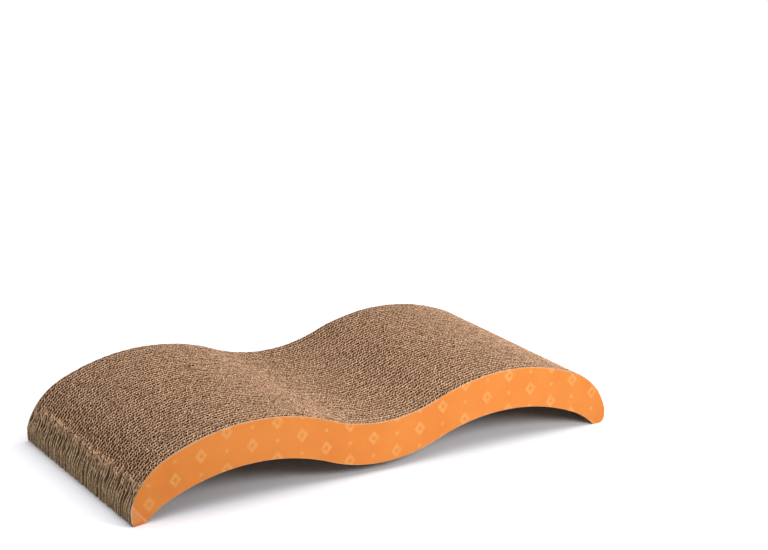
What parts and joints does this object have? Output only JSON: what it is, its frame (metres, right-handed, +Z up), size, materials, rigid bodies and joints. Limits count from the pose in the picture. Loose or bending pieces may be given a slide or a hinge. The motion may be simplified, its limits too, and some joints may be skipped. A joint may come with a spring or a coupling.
{
  "type": "cat scratcher lounge",
  "caption": "Wave-shaped floor scratcher of upright corrugated cardboard sheets glued side by side between printed card facings, with a dip to lie in and rounded toes to stand on.",
  "frame": {"origin": "on the floor, midway between the toes and midway between the printed faces", "axes": "+X along the length of the wave, +Y across the stack of boards from the front facing to the back one, +Z up"},
  "size_m": [0.448, 0.2016, 0.0655],
  "materials": {
    "printed_card": "matte",
    "kraft_liner": "matte",
    "kraft_fluting": "matte"
  },
  "bodies": {
    "root": {"facing_front": "printed_card", "facing_back": "printed_card", "liner_01": "kraft_liner", "liner_02": "kraft_liner", "liner_03": "kraft_liner", "liner_04": "kraft_liner", "liner_05": "kraft_liner", "liner_06": "kraft_liner", "liner_07": "kraft_liner", "liner_08": "kraft_liner", "liner_09": "kraft_liner", "liner_10": "kraft_liner", "liner_11": "kraft_liner", "liner_12": "kraft_liner", "liner_13": "kraft_liner", "liner_14": "kraft_liner", "liner_15": "kraft_liner", "liner_16": "kraft_liner", "liner_17": "kraft_liner", "liner_18": "kraft_liner", "liner_19": "kraft_liner", "liner_20": "kraft_liner", "liner_21": "kraft_liner", "liner_22": "kraft_liner", "liner_23": "kraft_liner", "liner_24": "kraft_liner", "liner_25": "kraft_liner", "liner_26": "kraft_liner", "liner_27": "kraft_liner", "liner_28": "kraft_liner", "liner_29": "kraft_liner", "liner_30": "kraft_liner", "liner_31": "kraft_liner", "liner_32": "kraft_liner", "liner_33": "kraft_liner", "liner_34": "kraft_liner", "liner_35": "kraft_liner", "liner_36": "kraft_liner", "liner_37": "kraft_liner", "liner_38": "kraft_liner", "liner_39": "kraft_liner", "liner_40": "kraft_liner", "liner_41": "kraft_liner", "liner_42": "kraft_liner", "liner_43": "kraft_liner", "liner_44": "kraft_liner", "liner_45": "kraft_liner", "liner_46": "kraft_liner", "liner_47": "kraft_liner", "liner_48": "kraft_liner", "liner_49": "kraft_liner", "liner_50": "kraft_liner", "liner_51": "kraft_liner", "fluting_1": "kraft_fluting", "fluting_2": "kraft_fluting", "fluting_3": "kraft_fluting", "fluting_4": "kraft_fluting", "fluting_5": "kraft_fluting", "fluting_6": "kraft_fluting", "fluting_7": "kraft_fluting"}
  },
  "joints": []
}
